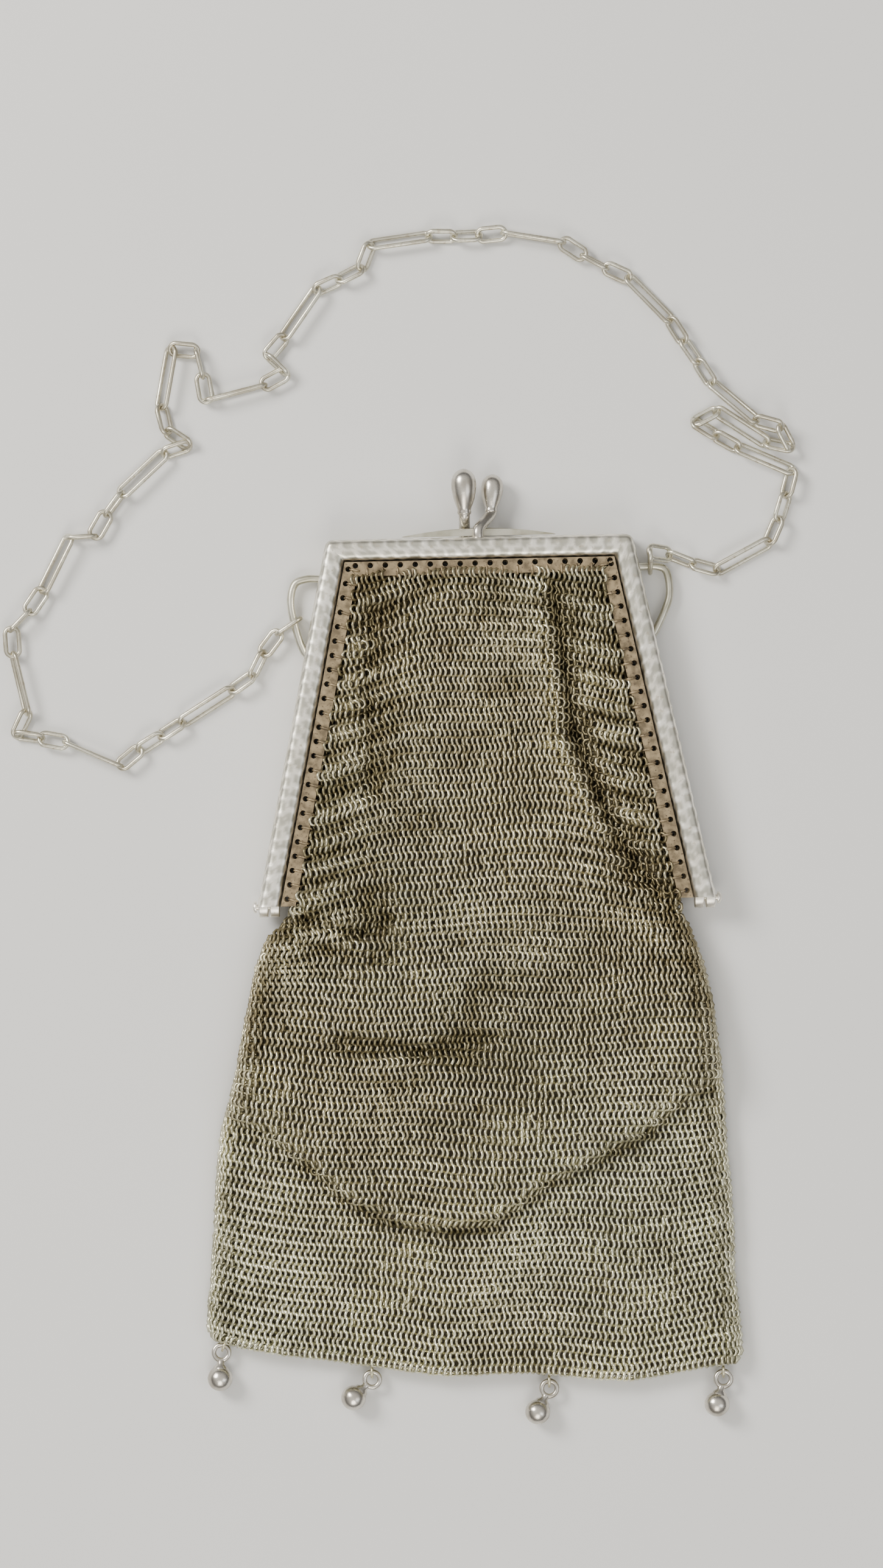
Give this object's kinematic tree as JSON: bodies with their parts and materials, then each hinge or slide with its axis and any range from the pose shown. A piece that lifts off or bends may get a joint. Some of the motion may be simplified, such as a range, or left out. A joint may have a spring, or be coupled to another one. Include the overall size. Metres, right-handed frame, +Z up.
{
  "type": "metal mesh purse",
  "caption": "Small evening purse of metal ring mesh on a hinged U-shaped frame with a kiss clasp, ball drops on its lower edge and a link carrying chain.",
  "frame": {"origin": "middle of the back frame's top bar, on the flat crest that rests on the table", "axes": "+Y from the lower edge of the bag to the clasp, +X to the right seen from the front, +Z up from the table through the shut purse"},
  "size_m": [0.1569, 0.2359, 0.009],
  "materials": {
    "frame_silver": "planished, worn bright",
    "knob_silver": "polished",
    "tarnished_strip": "tarnished satin",
    "ring_mesh": "worn, darkened between the rings",
    "drop_silver": "polished",
    "chain_silver": "worn polish"
  },
  "bodies": {
    "root": {"front_frame": "frame_silver", "back_frame": "frame_silver", "left_hinge_pin": "frame_silver", "right_hinge_pin": "frame_silver", "clasp_plate": "frame_silver", "front_clasp_knob": "knob_silver", "back_clasp_knob": "knob_silver", "left_ear_loop": "frame_silver", "right_ear_loop": "frame_silver", "front_strip": "tarnished_strip", "back_strip": "tarnished_strip", "mesh_bag": "ring_mesh", "drop_1": "drop_silver", "drop_2": "drop_silver", "drop_3": "drop_silver", "drop_4": "drop_silver", "chain_left": "chain_silver", "chain_right": "chain_silver"}
  },
  "joints": []
}
